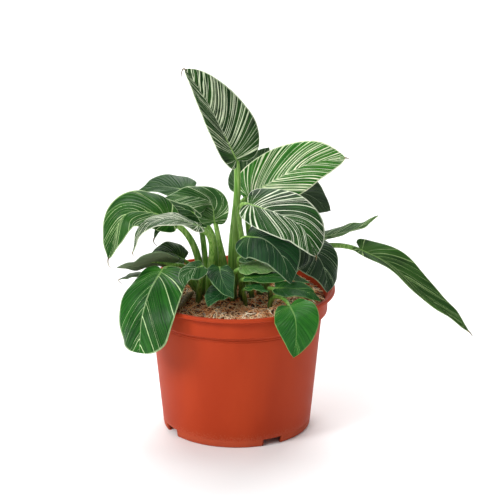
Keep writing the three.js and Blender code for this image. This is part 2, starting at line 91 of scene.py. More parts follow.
# rib: midrib points from junction to tip, x and y from the pot's axis and z from the
# lip. face: which way the upper side looks, at the junction and at the tip. foot: where
# the stalk stands. width, fold, cup, left, right, belly and round shape the blade; lift,
# reach, stalk and sheath shape the stalk. skin: the blade's dark and light green, the
# colour of its pale lines, and how much of it the wide and the thin lines take up. hook:
# the reach of a dry drip tip.
LEAVES = dict(
    leaf_top=dict(
        rib=((0, 4, 103), (-9, 6, 122), (-22, 10, 147), (-33, 14, 164), (-40, 18, 173)),
        face=((0.35, -1, 0.3), (0.2, -1, 0.7)), foot=(-3, 4), width=55, fold=(46, 0), cup=-15,
        left=0.68, right=1.08, belly=-0.03, round=0.35, reach=0.1, stalk=1.3, sheath=0.6,
        skin=((18, 42, 16), (44, 84, 32), (232, 244, 206), 0.52, 0.52), hook=(-4, 2, -9)),
    leaf_right_upper=dict(
        rib=((8, 12, 71), (32, 14, 85), (58, 16, 97), (86, 18, 101)),
        face=((-0.25, -0.75, 0.8), (-0.1, -0.9, 0.6)), foot=(8, 12), width=50, fold=(12, 5), right=0.85,
        belly=0.1,
        skin=((24, 86, 12), (52, 122, 28), (246, 252, 214), 0.7, 0.52), hook=(4, 0, -1)),
    leaf_right_middle=dict(
        rib=((10, -13, 73), (31, -21, 68), (51, -30, 59), (62, -38, 38)),
        face=((0.1, -0.6, 0.85), (0.4, -0.8, 0.45)), foot=(11, 0), width=60, left=0.8, right=0.68,
        belly=0.12,
        skin=((14, 44, 14), (36, 82, 26), (242, 250, 222), 0.46, 0.26), hook=(0, -1, -4)),
    leaf_right_lower=dict(
        rib=((8, -18, 48), (22, -32, 50), (35, -44, 41), (42, -56, 22)),
        face=((0.2, -0.7, 0.75), (0.45, -0.8, 0.35)), foot=(4, -6), width=56, fold=(0, 0), cup=-25,
        left=0.9, right=0.75,
        skin=((16, 44, 24), (32, 72, 36), (180, 204, 160), 0.1, 0.08)),
    leaf_right_rim=dict(
        rib=((50, -12, 39), (64, -18, 31), (70, -26, 19), (71, -34, 7)),
        face=((0.4, -0.5, 0.75), (0.7, -0.6, 0.25)), foot=(18, -4), width=52, fold=(0, 0), left=0.85,
        skin=((20, 42, 24), (42, 68, 38), (170, 192, 150), 0.16, 0.14)),
    leaf_back_right=dict(
        rib=((20, 22, 76), (38, 28, 72), (58, 34, 65), (75, 38, 51)),
        face=((0.1, -0.6, 0.85), (0.3, -0.7, 0.6)), foot=(14, 17), width=54, fold=(0, 0),
        skin=((40, 58, 38), (62, 82, 54), (160, 180, 145), 0.1, 0.08)),
    leaf_far_right_upper=dict(
        rib=((66, 10, 38), (86, 12, 42), (101, 14, 47), (112, 16, 54)),
        face=((-0.2, -0.25, 0.95), (-0.3, -0.25, 0.95)), foot=(20, 12), width=28, left=0.7, right=0.3,
        skin=((40, 74, 30), (74, 112, 52), (186, 206, 150), 0.36, 0.28)),
    leaf_far_right=dict(
        rib=((98, 4, 30), (122, -2, 19), (148, -8, -3), (184, -14, -33)),
        face=((0.3, -0.45, 0.85), (0.45, -0.45, 0.7)), foot=(23, 6), width=46, fold=(25, 10), cup=-10,
        left=0.6, right=0.32, belly=0.05,
        skin=((22, 46, 18), (50, 88, 32), (160, 188, 124), 0.26, 0.4), hook=(4, 0, -5)),
    leaf_left_upper=dict(
        rib=((-50, -10, 58), (-66, -14, 66), (-87, -20, 66), (-100, -27, 32)),
        face=((-0.1, -0.6, 0.85), (-0.6, -0.6, 0.5)), foot=(-27, -1), width=50, cup=-25, left=0.6,
        right=0.85, belly=0.08, stalk=1.2, sheath=0.2,
        skin=((18, 62, 14), (44, 94, 26), (200, 226, 160), 0.3, 0.22), hook=(2, -2, -8)),
    leaf_left_front=dict(
        rib=((-29, -34, 62), (-50, -40, 70), (-70, -46, 67), (-80, -50, 45)),
        face=((0, -0.1, 1), (-0.7, -0.1, 0.7)), foot=(-22, -10), width=28, stalk=1.1, sheath=0.5,
        skin=((22, 54, 20), (54, 90, 38), (240, 246, 218), 0.5, 0.34), hook=(1, -1, -3)),
    leaf_left_middle=dict(
        rib=((-25, 8, 51), (-38, 8, 61), (-53, 6, 60), (-65, 0, 40)),
        face=((-0.1, -0.6, 0.8), (-0.5, -0.6, 0.5)), foot=(-19, 2), width=36, fold=(0, 0), left=0.35,
        right=0.7, stalk=1.1, sheath=0.9,
        skin=((18, 50, 18), (38, 78, 30), (180, 206, 150), 0.26, 0.22), hook=(2, 0, -7)),
    leaf_back_left=dict(
        rib=((-37, 24, 72), (-51, 30, 73), (-65, 36, 72), (-80, 42, 65)),
        face=((0, -0.5, 0.9), (-0.2, -0.5, 0.9)), foot=(-24, 12), width=40, left=0.45, right=0.75,
        reach=0.1,
        skin=((34, 66, 34), (62, 94, 52), (160, 186, 140), 0.04, 0.1)),
    leaf_centre_left=dict(
        rib=((-17, -16, 59), (-20, -20, 76), (-34, -26, 83), (-55, -32, 84)),
        face=((-0.2, -0.8, 0.5), (0, -0.5, 0.8)), foot=(-9, -5), width=38, cup=-25, left=0.8,
        right=0.65, sheath=0.6,
        skin=((30, 68, 26), (62, 104, 46), (198, 218, 170), 0.28, 0.22)),
    leaf_back_centre=dict(
        rib=((3, 42, 65), (12, 48, 80), (20, 54, 90), (26, 60, 97)),
        face=((0.1, -1, 0.2),) * 2, foot=(2, 22), width=30,
        skin=((40, 68, 38), (74, 102, 64), (170, 188, 150), 0.26, 0.18)),
    leaf_low_left=dict(
        rib=((-49, -6, 22), (-64, -8, 24), (-80, -10, 21), (-94, -12, 20)),
        face=((0, 0.7, 0.75),) * 2, foot=(-31, 12), width=32, cup=-10, right=0.7, stalk=0.85,
        skin=((44, 72, 36), (72, 100, 54), (150, 176, 130), 0.12, 0.1)),
    leaf_low_left_front=dict(
        rib=((-60, -8, 14), (-73, -10, 13), (-85, -12, 13), (-92, -14, 11)),
        face=((0, 0.1, 0.95),) * 2, foot=(-33, 5), width=20, cup=-10, lift=0.25, stalk=0.85,
        skin=((60, 78, 52), (88, 104, 76), (150, 170, 130), 0.16, 0.1), hook=(3, 0, -5)),
    leaf_low_left_back=dict(
        rib=((-42, 12, 19), (-51, 12, 24), (-61, 12, 24), (-70, 12, 20)),
        face=((0, -0.5, 0.9),) * 2, foot=(-31, 19), width=24, cup=-10, stalk=0.85,
        skin=((28, 54, 20), (54, 82, 32), (130, 156, 96), 0.16, 0.1)),
    leaf_front_left=dict(
        rib=((-58, -28, 24), (-67, -47, 13), (-73, -60, -5), (-75, -67, -31)),
        face=((-0.45, -0.65, 0.6), (-0.62, -0.75, 0.1)), foot=(-29, -13), width=58, fold=(3, 3),
        cup=-25, right=0.9, belly=0.22, round=0.8, stalk=0.95,
        skin=((10, 58, 10), (36, 98, 24), (208, 234, 174), 0.22, 0.14)),
    leaf_small_left=dict(
        rib=((-26, -42, 32), (-34, -48, 31), (-40, -52, 27), (-41, -54, 18)),
        face=((-0.1, -0.6, 0.8), (-0.3, -0.8, 0.4)), foot=(-30, -25), width=24, fold=(0, 0), left=0.8,
        right=0.6, reach=0.1, stalk=0.85,
        skin=((22, 62, 26), (46, 92, 40), (196, 218, 174), 0.34, 0.26)),
    leaf_centre_front=dict(
        rib=((-13, -26, 25), (-12, -38, 23), (-8, -50, 17), (-2, -58, 11)),
        face=((0.1, -0.6, 0.85), (0.2, -0.7, 0.6)), foot=(-9, -12), width=40, left=0.55, right=0.55,
        stalk=0.85,
        skin=((14, 56, 24), (30, 82, 34), (160, 200, 136), 0.12, 0.05)),
    leaf_small_front=dict(
        rib=((-6, -40, 12), (-12, -46, 11), (-17, -52, 9), (-22, -58, 4)),
        face=((-0.1, -0.4, 0.9), (-0.3, -0.5, 0.7)), foot=(-3, -21), width=26, left=0.6, stalk=0.85,
        skin=((16, 60, 28), (32, 84, 36), (150, 190, 134), 0.12, 0.05)),
    leaf_rolled=dict(
        rib=((4, -29, 26), (13, -30, 27), (22, -32, 27), (31, -35, 25)),
        face=((0.1, -0.2, 0.9),) * 2, foot=(-2, -11), width=28, cup=-30, right=0.7, belly=0.1, left=0.7,
        stalk=0.85,
        skin=((60, 110, 50), (120, 160, 88), (176, 206, 140), 0.24, 0.24)),
    leaf_low_right=dict(
        rib=((8, -38, 21), (25, -39, 22), (42, -41, 22), (57, -45, 19)),
        face=((0, -0.3, 0.95), (0.1, -0.3, 0.95)), foot=(5, -18), width=30, right=0.5, left=0.6,
        stalk=0.85,
        skin=((18, 68, 22), (38, 96, 30), (160, 200, 126), 0.1, 0.04)),
    leaf_low_right_front=dict(
        rib=((8, -42, 14), (14, -44, 15), (20, -47, 14), (25, -49, 13)),
        face=((0, -0.3, 0.95), (0.1, -0.3, 0.95)), foot=(7, -28), width=15, right=0.5, left=0.7,
        stalk=0.75,
        skin=((20, 72, 28), (38, 96, 36), (160, 200, 126), 0.1, 0.04)),
    leaf_front_right=dict(
        rib=((41, -70, 9), (45, -80, 3), (46, -85, -10), (44, -87, -27)),
        face=((-0.05, -0.8, 0.6), (0, -0.95, 0.1)), foot=(26, -32), width=44, cup=-25, right=0.75,
        left=0.85, lift=0.3, stalk=0.75,
        skin=((24, 82, 22), (44, 110, 32), (160, 200, 116), 0.04, 0.14)),
    leaf_front_right_upper=dict(
        rib=((31, -51, 17), (43, -55, 18), (55, -59, 16), (65, -62, 10)),
        face=((0.1, -0.5, 0.85), (0.3, -0.6, 0.6)), foot=(27, -21), width=34, cup=-25, right=0.5,
        left=0.45, stalk=0.85,
        skin=((12, 54, 14), (26, 76, 24), (150, 190, 110), 0.06, 0.03)),
    leaf_small_centre=dict(
        rib=((3, -24, 33), (9, -28, 36), (16, -31, 40), (22, -34, 38)),
        face=((0, -0.7, 0.7), (0.2, -0.7, 0.6)), foot=(12, -12), width=24, right=0.5, stalk=0.85,
        skin=((22, 58, 26), (44, 86, 40), (180, 206, 160), 0.12, 0.12)),
)


# ---- Curves ----

SPAN_SAMPLES = 80
LINE_SAMPLES = 240


def unit(v):
    return v / np.linalg.norm(v, axis=-1, keepdims=True)


def through(points, samples=LINE_SAMPLES):
    """Centripetal Catmull-Rom through the points: positions at even arc length, and the length."""
    p = np.array(points, float)
    p = np.vstack([2 * p[0] - p[1], p, 2 * p[-1] - p[-2]])
    rows = []
    for i in range(1, len(p) - 2):
        a, b, c, d = p[i - 1], p[i], p[i + 1], p[i + 2]
        ab, bc, cd = (np.linalg.norm(q) ** 0.5 for q in (b - a, c - b, d - c))
        t1 = ((b - a) / ab - (c - a) / (ab + bc) + (c - b) / bc) * bc
        t2 = ((c - b) / bc - (d - b) / (bc + cd) + (d - c) / cd) * bc
        t = np.linspace(0, 1, SPAN_SAMPLES, endpoint=(i == len(p) - 3))[:, None]
        rows.append(b + t1 * t + (-3 * b + 3 * c - 2 * t1 - t2) * t ** 2
                    + (2 * b - 2 * c + t1 + t2) * t ** 3)
    return evened(np.vstack(rows), samples)


def evened(line, samples):
    """The same line with its points at even steps of arc length, and its length."""
    run = np.concatenate([[0], np.cumsum(np.linalg.norm(np.diff(line, axis=0), axis=1))])
    at = np.linspace(0, run[-1], samples)
    return np.stack([np.interp(at, run, line[:, c]) for c in range(3)], 1), run[-1]


class Rib:
    """Midrib of a leaf: place and direction at a share of its length, straight on past its ends."""

    def __init__(self, points):
        lifted = [(x, y, z + POT_HEIGHT) for x, y, z in points]
        self.line, self.length = through(lifted)
        self.heading = unit(np.gradient(self.line, axis=0))

    def at(self, share):
        share = np.asarray(share, float)
        inside = np.clip(share, 0, 1)
        pos = inside * (len(self.line) - 1)
        steps = np.arange(len(self.line))
        place = np.stack([np.interp(pos, steps, self.line[:, c]) for c in range(3)], -1)
        way = unit(np.stack([np.interp(pos, steps, self.heading[:, c]) for c in range(3)], -1))
        return place + way * ((share - inside) * self.length)[..., None], way


def margin_at(station):
    """Half width and distance of the margin at each station, by Hermite pieces."""
    rows = len(MARGIN)
    low = np.clip(np.arange(rows) - 1, 0, rows - 1)
    high = np.clip(np.arange(rows) + 1, 0, rows - 1)
    slope = (MARGIN[high, 1:] - MARGIN[low, 1:]) / (MARGIN[high, :1] - MARGIN[low, :1])
    k = np.clip(np.searchsorted(MARGIN[:, 0], station, side="right") - 1, 0, rows - 2)
    h = (MARGIN[k + 1, 0] - MARGIN[k, 0])[:, None]
    s = (station - MARGIN[k, 0])[:, None] / h
    return ((2 * s ** 3 - 3 * s ** 2 + 1) * MARGIN[k, 1:] + (s ** 3 - 2 * s ** 2 + s) * h * slope[k]
            + (3 * s ** 2 - 2 * s ** 3) * MARGIN[k + 1, 1:] + (s ** 3 - s ** 2) * h * slope[k + 1])


# ---- Mesh helpers ----

def in_scene(name, data):
    """A new object of the scene that carries a mesh, a light or a camera."""
    obj = bpy.data.objects.new(name, data)
    bpy.context.scene.collection.objects.link(obj)
    return obj


def make_object(name, verts, faces, materials, face_slots=None, uv=None, smooth=True, colours=None):
    """A mesh object from numpy millimetres, with a UV and a colour per vertex if given."""
    mesh = bpy.data.meshes.new(name)
    mesh.from_pydata((np.asarray(verts) * MM).tolist(), [], faces)
    for material in materials:
        mesh.materials.append(material)
    if face_slots is not None:
        mesh.polygons.foreach_set("material_index", np.asarray(face_slots, dtype=np.int32))
    mesh.polygons.foreach_set("use_smooth", np.full(len(mesh.polygons), smooth))
    if uv is not None:
        layer = mesh.uv_layers.new(name="vein")
        index = np.zeros(len(mesh.loops), dtype=np.int32)
        mesh.loops.foreach_get("vertex_index", index)
        layer.data.foreach_set("uv", np.asarray(uv, dtype=np.float32)[index].ravel())
    if colours is not None:
        layer = mesh.color_attributes.new(name="tint", type="FLOAT_COLOR", domain="POINT")
        layer.data.foreach_set("color", np.asarray(colours, dtype=np.float32).ravel())
    mesh.update()
    mesh.validate()
    return in_scene(name, mesh)


def tube_parts(centres, ups, widths, heights, sides, first=0):
    """Vertices and faces of a closed tube with an oval section at each centre."""
    ways = unit(np.gradient(centres, axis=0))
    ups = unit(ups - ways * (ups * ways).sum(1, keepdims=True))
    rights = np.cross(ways, ups)
    angle = np.linspace(0, 2 * np.pi, sides, endpoint=False)
    x = np.cos(angle)[None, :, None] * np.asarray(widths)[:, None, None]
    y = np.sin(angle)[None, :, None] * np.asarray(heights)[:, None, None]
    verts = centres[:, None] + rights[:, None] * x + ups[:, None] * y
    rings = len(centres)
    k = np.arange(sides)
    n = (k + 1) % sides
    faces = []
    for r in range(rings - 1):
        a = first + r * sides
        faces += np.stack([a + k, a + n, a + sides + n, a + sides + k], 1).tolist()
    faces.append([first + int(i) for i in k[::-1]])
    faces.append([first + (rings - 1) * sides + int(i) for i in k])
    return verts.reshape(-1, 3), faces


# ---- Materials ----

def linear(rgb):
    """An 8-bit display colour as linear red, green, blue and alpha 1."""
    out = []
    for c in rgb:
        c = c / 255
        out.append(c / 12.92 if c <= 0.04045 else ((c + 0.055) / 1.055) ** 2.4)
    return (*out, 1.0)


class Nodes:
    """Short ways to add and join shader nodes of one material."""

    def __init__(self, name):
        self.material = bpy.data.materials.new(name)
        self.material.use_nodes = True
        self.tree = self.material.node_tree
        self.tree.nodes.clear()
        out = self.tree.nodes.new("ShaderNodeOutputMaterial")
        self.shader = self.tree.nodes.new("ShaderNodeBsdfPrincipled")
        self.join(self.shader.outputs[0], out.inputs["Surface"])

    def join(self, a, b):
        self.tree.links.new(a, b)

    def put(self, socket, value):
        if isinstance(value, bpy.types.NodeSocket):
            self.join(value, socket)
        else:
            socket.default_value = value

    def feed(self, name, value):
        """Give a node's output, or a fixed value, to an input of the surface shader."""
        self.put(self.shader.inputs[name], value)

    def math(self, kind, a, b=0.0, c=0.0, clamp=False):
        node = self.tree.nodes.new("ShaderNodeMath")
        node.operation = kind
        node.use_clamp = clamp
        for socket, value in zip(node.inputs, (a, b, c)):
            self.put(socket, value)
        return node.outputs[0]

    def times(self, a, b):
        return self.math("MULTIPLY", a, b)

    def plus(self, a, b):
        return self.math("ADD", a, b)

    def mix(self, factor, a, b):
        """Two colours mixed; a Mix node's colours are its inputs 6 and 7 and its output 2."""
        node = self.tree.nodes.new("ShaderNodeMix")
        node.data_type = "RGBA"
        self.put(node.inputs[0], factor)
        self.put(node.inputs[6], a)
        self.put(node.inputs[7], b)
        return node.outputs[2]

    def ramp(self, value, low, high, smooth=True):
        """0 where the value is at low and 1 where it is at high."""
        node = self.tree.nodes.new("ShaderNodeMapRange")
        node.interpolation_type = "SMOOTHSTEP" if smooth else "LINEAR"
        self.put(node.inputs[0], value)
        self.put(node.inputs[1], low)
        self.put(node.inputs[2], high)
        return node.outputs[0]

    def blend(self, value, low, high, a, b):
        """Display colour a where the value is at low, and b where it is at high."""
        return self.mix(self.ramp(value, low, high), linear(a), linear(b))

    def overlay(self, ground, value, low, high, strength, colour):
        """A display colour laid over the ground, up to a strength, where the value is high."""
        cover = self.times(self.ramp(value, low, high), strength)
        return self.mix(cover, ground, linear(colour))

    def roughness(self, value, low, high):
        self.feed("Roughness", self.ramp(value, low, high, smooth=False))

    def noise(self, vector, scale, detail=2.0, roughness=0.5):
        node = self.tree.nodes.new("ShaderNodeTexNoise")
        self.join(vector, node.inputs["Vector"])
        node.inputs["Scale"].default_value = scale
        node.inputs["Detail"].default_value = detail
        node.inputs["Roughness"].default_value = roughness
        return node.outputs["Fac"]

    def white(self, vector):
        node = self.tree.nodes.new("ShaderNodeTexWhiteNoise")
        self.join(vector, node.inputs["Vector"])
        return node.outputs["Value"]

    def vector(self, x, y, z):
        node = self.tree.nodes.new("ShaderNodeCombineXYZ")
        for socket, value in zip(node.inputs, (x, y, z)):
            self.put(socket, value)
        return node.outputs[0]

    def split(self, vector):
        node = self.tree.nodes.new("ShaderNodeSeparateXYZ")
        self.join(vector, node.inputs[0])
        return node.outputs

    def place(self):
        return self.tree.nodes.new("ShaderNodeTexCoord").outputs["Object"]

    def drawn_out(self, x, y, z, across, upward):
        """A place scaled by one number across and by a smaller one upward, for streaks."""
        return self.vector(self.times(x, across), self.times(y, across), self.times(z, upward))

    def blade_place(self):
        """Along from junction to tip, offset across, and reach: midrib 0 and margin 1."""
        node = self.tree.nodes.new("ShaderNodeUVMap")
        node.uv_map = "vein"
        along, across, _ = self.split(node.outputs[0])
        offset = self.math("SUBTRACT", across, 0.5)
        return along, offset, self.times(self.math("ABSOLUTE", offset), 2.0)

    def tint(self):
        node = self.tree.nodes.new("ShaderNodeVertexColor")
        node.layer_name = "tint"
        return node.outputs["Color"]

    def bump(self, height, strength, distance):
        node = self.tree.nodes.new("ShaderNodeBump")
        node.inputs["Strength"].default_value = strength
        node.inputs["Distance"].default_value = distance
        self.join(height, node.inputs["Height"])
        self.feed("Normal", node.outputs[0])


# How many lines of each kind there is room for, from the junction to the tip.
WIDE_LINES = 25.0
FINE_LINES = 46.0
HAIR_LINES = 120.0
FRESH_GREEN = (104, 150, 62)
# Each leaf and each side of its midrib takes its noise from a place of its own.
LEAF_SHIFT = 3.71
SIDE_SHIFT = 9.3


def leaf_material(name, leaf, number):
    """Upper side: green with pale lines that follow the side veins, and a pale margin."""
    dark, light, pale_line, wide_amount, fine_amount = leaf["skin"]
    m = Nodes(name + "_upper")
    along, offset, reach = m.blade_place()
    side = m.times(m.math("GREATER_THAN", offset, 0.0), SIDE_SHIFT)
    drift = m.plus(side, number * LEAF_SHIFT)

    def field(count, wander, shift):
        """Noise drawn out along the veins."""
        place = m.vector(m.times(along, count), m.times(reach, wander), m.plus(drift, shift))
        return m.noise(place, 1.0, 0.0)

    def lines(count, amount, width, shift):
        """Long lines along the veins: each has its own width, and some are missing."""
        wobble = m.times(field(6.0, 1.1, shift), 1.2)
        run = m.plus(m.times(along, count), wobble)
        cell = m.math("FLOOR", run)
        off = m.math("ABSOLUTE", m.math("SUBTRACT", m.math("FRACT", run), 0.5))
        chance = m.white(m.vector(cell, drift, shift))
        present = m.ramp(chance, 1.0 - amount, 1.25 - 0.6 * amount)
        place = m.vector(m.times(reach, 2.6), m.times(cell, 7.7), m.plus(drift, shift))
        taper = m.ramp(m.noise(place, 1.0), 0.12, 0.62)
        narrowing = m.math("MULTIPLY_ADD", reach, -0.35 * width, 1.15 * width)
        half = m.times(m.times(present, taper), narrowing)
        line = m.ramp(off, m.plus(half, 0.03), m.times(half, 0.80))
        return m.times(line, m.ramp(half, 0.0, 0.05))

    # The last number starts each kind's noise in a place of its own.
    wide = lines(WIDE_LINES, 0.16 + 0.84 * wide_amount, 0.09 + 0.20 * wide_amount, 0.0)
    fine = lines(FINE_LINES, 0.10 + 0.85 * fine_amount, 0.12 + 0.14 * fine_amount, 17.0)
    hair = lines(HAIR_LINES, 0.15 + 0.80 * fine_amount, 0.22, 43.0)
    stripe = m.math("MAXIMUM", wide, m.times(fine, 0.92))
    stripe = m.math("MAXIMUM", stripe, m.times(hair, 0.15))
    edge = m.times(m.ramp(reach, 0.958, 0.985), min(1.0, 0.5 + 0.6 * wide_amount))
    midrib = m.times(m.ramp(reach, 0.05, 0.012), 0.42)
    pale = m.math("MAXIMUM", m.math("MAXIMUM", stripe, edge), midrib, clamp=True)

    # Two greens in soft clouds along the veins, fresher by the junction, and two pale tones.
    cloud = m.noise(m.place(), 38.0, 3.0, 0.6)
    veins = field(64.0, 0.6, 5.0)
    ground = m.blend(m.plus(cloud, m.times(veins, 0.8)), 0.60, 1.20, dark, light)
    heart = m.times(m.ramp(along, 0.34, 0.0), m.ramp(reach, 0.75, 0.0))
    fresh = tuple(0.55 * g + 0.45 * f for g, f in zip(light, FRESH_GREEN))
    ground = m.mix(m.times(heart, 0.75), ground, linear(fresh))
    greener = tuple(0.84 * p + 0.16 * g for p, g in zip(pale_line, light))
    tone = m.blend(field(20.0, 4.0, 63.0), 0.35, 0.65, pale_line, greener)
    m.feed("Base Color", m.mix(pale, ground, tone))
    m.roughness(m.noise(m.place(), 90.0, 2.0), -0.7, 2.6)
    m.feed("Specular IOR Level", 0.13)
    m.feed("Coat Weight", 0.06)
    m.feed("Coat Roughness", 0.22)
    m.bump(m.plus(veins, m.times(wide, 0.12)), 0.45, 0.0013)
    return m.material


def underside_and_sheen_material():
    """Lower side of every blade: paler green with faint veins, its grey cast partly painted sheen."""
    m = Nodes("leaf_underside_and_painted_sheen")
    along, _, reach = m.blade_place()
    veins = m.noise(m.vector(m.times(along, 60.0), reach, 4.0), 1.0, 1.0)
    cloud = m.noise(m.place(), 45.0, 3.0)
    # The two ground colours are partly the underside's own paler green and partly painted sheen: greyed
    # and lightened to stand in for the glossy reflection and to offset its shade.
    ground = m.blend(cloud, 0.3, 0.7, (92, 112, 80), (126, 142, 110))
    veined = m.overlay(ground, veins, 0.52, 0.66, 0.35, (134, 154, 110))
    m.feed("Base Color", m.overlay(veined, reach, 0.06, 0.02, 0.6, (150, 172, 112)))
    m.roughness(cloud, -1.2, 2.0)
    m.feed("Specular IOR Level", 0.18)
    m.bump(veins, 0.3, 0.0008)
    return m.material


def stalk_material():
    """Stalks: pale streaked green, darker low down and brown where they leave the mix."""
    m = Nodes("stalk_green")
    x, y, z = m.split(m.place())
    streak = m.noise(m.drawn_out(x, y, z, 900.0, 22.0), 1.0, 2.0, 0.6)
    green = m.blend(streak, 0.35, 0.65, (96, 148, 48), (156, 196, 102))
    deep = m.blend(streak, 0.35, 0.65, (52, 96, 26), (98, 142, 48))
    colour = m.mix(m.ramp(z, 0.165, 0.108), green, deep)
    m.feed("Base Color", m.overlay(colour, z, 0.118, 0.106, 0.75, (74, 62, 38)))
    m.roughness(streak, -0.7, 2.2)
    m.feed("Specular IOR Level", 0.45)
    m.bump(streak, 0.25, 0.0006)
    return m.material


def dry_tip_material():
    """Dry drip tips: two browns in a fine grain."""
    m = Nodes("leaf_dry_tip")
    grain = m.noise(m.place(), 600.0, 2.0)
    m.feed("Base Color", m.blend(grain, 0.35, 0.65, (88, 66, 40), (128, 112, 66)))
    m.roughness(grain, -1.0, 1.4)
    m.bump(grain, 0.3, 0.0004)
    return m.material


def mix_material():
    """Loose coir and peat: each strand and chip carries its own tint."""
    m = Nodes("coir_mix")
    grain = m.noise(m.place(), 1400.0, 3.0, 0.7)
    dark = m.blend(grain, 0.25, 0.75, (30, 20, 14), (128, 88, 58))
    m.feed("Base Color", m.mix(0.92, dark, m.tint()))
    m.roughness(grain, -2.0, 1.0)
    m.feed("Specular IOR Level", 0.2)
    m.bump(grain, 0.5, 0.0008)
    return m.material


def root_material():
    """Old root: olive-brown skin with pale scars."""
    m = Nodes("old_root_skin")
    place = m.place()
    skin = m.noise(place, 420.0, 4.0, 0.65)
    scar = m.noise(place, 120.0, 2.0)
    bark = m.blend(skin, 0.3, 0.7, (72, 60, 34), (140, 122, 78))
    m.feed("Base Color", m.overlay(bark, scar, 0.58, 0.68, 0.6, (146, 122, 84)))
    m.roughness(skin, -1.0, 1.3)
    m.bump(skin, 0.5, 0.0008)
    return m.material


def pot_material():
    """Moulded terracotta-coloured plastic: smooth, semi-matt, faint flow marks and dust."""
    m = Nodes("pot_plastic_skin")
    place = m.place()
    x, y, z = m.split(place)
    flow = m.noise(m.drawn_out(x, y, z, 30.0, 9.0), 1.0, 3.0)
    speck = m.noise(place, 900.0, 2.0)
    plastic = m.blend(flow, 0.3, 0.7, (166, 54, 21), (177, 61, 26))
    dusty = m.plus(speck, m.ramp(z, 0.02, -0.01))
    m.feed("Base Color", m.overlay(plastic, dusty, 0.72, 1.0, 0.10, (214, 150, 118)))
    m.feed("Roughness", m.math("MULTIPLY_ADD", flow, 0.22, 0.42))
    m.feed("Specular IOR Level", 0.12)
    m.bump(speck, 0.12, 0.0003)
    return m.material


# ---- Leaves ----

UPPER_SLOT, LOWER_SLOT, STALK_SLOT, TIP_SLOT = range(4)

# Heights, depths and thicknesses are in millimetres, like the channel's width. Stations,
# shares, the narrowest and the keel's width are parts of a length or of half a width.
BLADE_SEED = 100
BLADE_STEPS = 110
BLADE_HALF_STEPS = 13
BLADE_THICKNESS = 0.55
FIRST_STATION = 0.03
STATION_POWER = 0.9
NARROWEST = 0.004
RIPPLE_HEIGHT = 0.35
PLEAT_HEIGHT = 0.16
PLEAT_COUNT = 21
CHANNEL_DEPTH = 0.45
CHANNEL_HALF_WIDTH = 1.1
KEEL_DEPTH = 0.9
KEEL_HALF_WIDTH = 0.05

STALK_SIDES = 14
STALK_STEPS = 40
STALK_SAMPLES = 120
STALK_ROOT_RADIUS = 2.7
STALK_TIP_RADIUS = 1.9
STALK_SINK = 5.0
MIDRIB_STEPS = 14
MIDRIB_FIRST_SHARE = 0.02
MIDRIB_LAST_SHARE = 0.45
MIDRIB_VANISH_SHARE = 0.47

HOOK_STEPS = 12
HOOK_SIDES = 8
HOOK_ROOT_RADIUS = 0.75
HOOK_TIP_RADIUS = 0.18
HOOK_SHARE = 0.985


def facing(leaf, share, way):
    """Which way the upper side looks at a share of the midrib, square to the midrib."""
    blend = np.clip(share, 0, 1)[..., None]
    face = np.array(leaf["face"][0]) * (1 - blend) + np.array(leaf["face"][1]) * blend
    return unit(face - way * (face * way).sum(-1, keepdims=True))


def blade_grid(leaf, rib, seed):
    """Upper side of a blade as a grid of points, with its stations, acrosses and up."""
    rng = random.Random(seed)
    station = np.linspace(FIRST_STATION, 1.0, BLADE_STEPS) ** STATION_POWER
    across = np.linspace(-1, 1, 2 * BLADE_HALF_STEPS + 1)
    wide, along = margin_at(station).T
    inside = np.clip(along, 0, 1)
    along = along + leaf["belly"] * 4 * inside * (1 - inside)
    wide = np.maximum(wide, NARROWEST)
    wide = np.where(station > MARGIN[WIDEST_ROW, 0], wide ** (1 / (1 + leaf["round"])), wide)
    wide[-1] = NARROWEST
    side = np.sign(across)[None, :]
    reach = np.abs(across)[None, :]
    start = (station ** VEIN_START_POWER)[:, None]
    share = start + (along[:, None] - start) * reach ** VEIN_SWEEP_POWER
    half = leaf["width"] / 2
    distance = wide[:, None] * reach * half * np.where(side < 0, leaf["left"], leaf["right"])
    place, way = rib.at(share)
    up = facing(leaf, share, way)
    right = np.cross(way, up)
    cup = math.radians(leaf["cup"])
    fold = np.radians(np.where(side < 0, leaf["fold"][0], leaf["fold"][1]))
    bend = cup * distance / half
    outward = half / cup * np.sin(bend)
    rise = half / cup * (1 - np.cos(bend))
    x = outward * np.cos(fold) - rise * np.sin(fold)
    z = outward * np.sin(fold) + rise * np.cos(fold)
    # Small life in the sheet: a slow wave of the margin with a ripple on it, pleats along
    # the veins and a shallow channel over the midrib.
    phase = rng.uniform(0, 6.28)
    wave = np.sin(station * rng.uniform(13, 17) + phase)[:, None] * reach ** 2.5
    ripple = RIPPLE_HEIGHT * np.sin(station * 31 + phase * 2 - 1.3)[:, None] * reach ** 3
    wave = (wave + ripple) * np.clip(wide[:, None] * 2.0, 0, 1)
    pleat = PLEAT_HEIGHT * np.sin(station * 2 * math.pi * PLEAT_COUNT + phase)[:, None]
    pleat = pleat * np.sin(math.pi * reach ** 0.8)
    channel = -CHANNEL_DEPTH * np.exp(-(distance / CHANNEL_HALF_WIDTH) ** 2) * np.clip(1 - share, 0, 1)
    z = z + wave + pleat + channel
    points = place + right * (x * side)[..., None] + up * z[..., None]
    return points, station, across, up


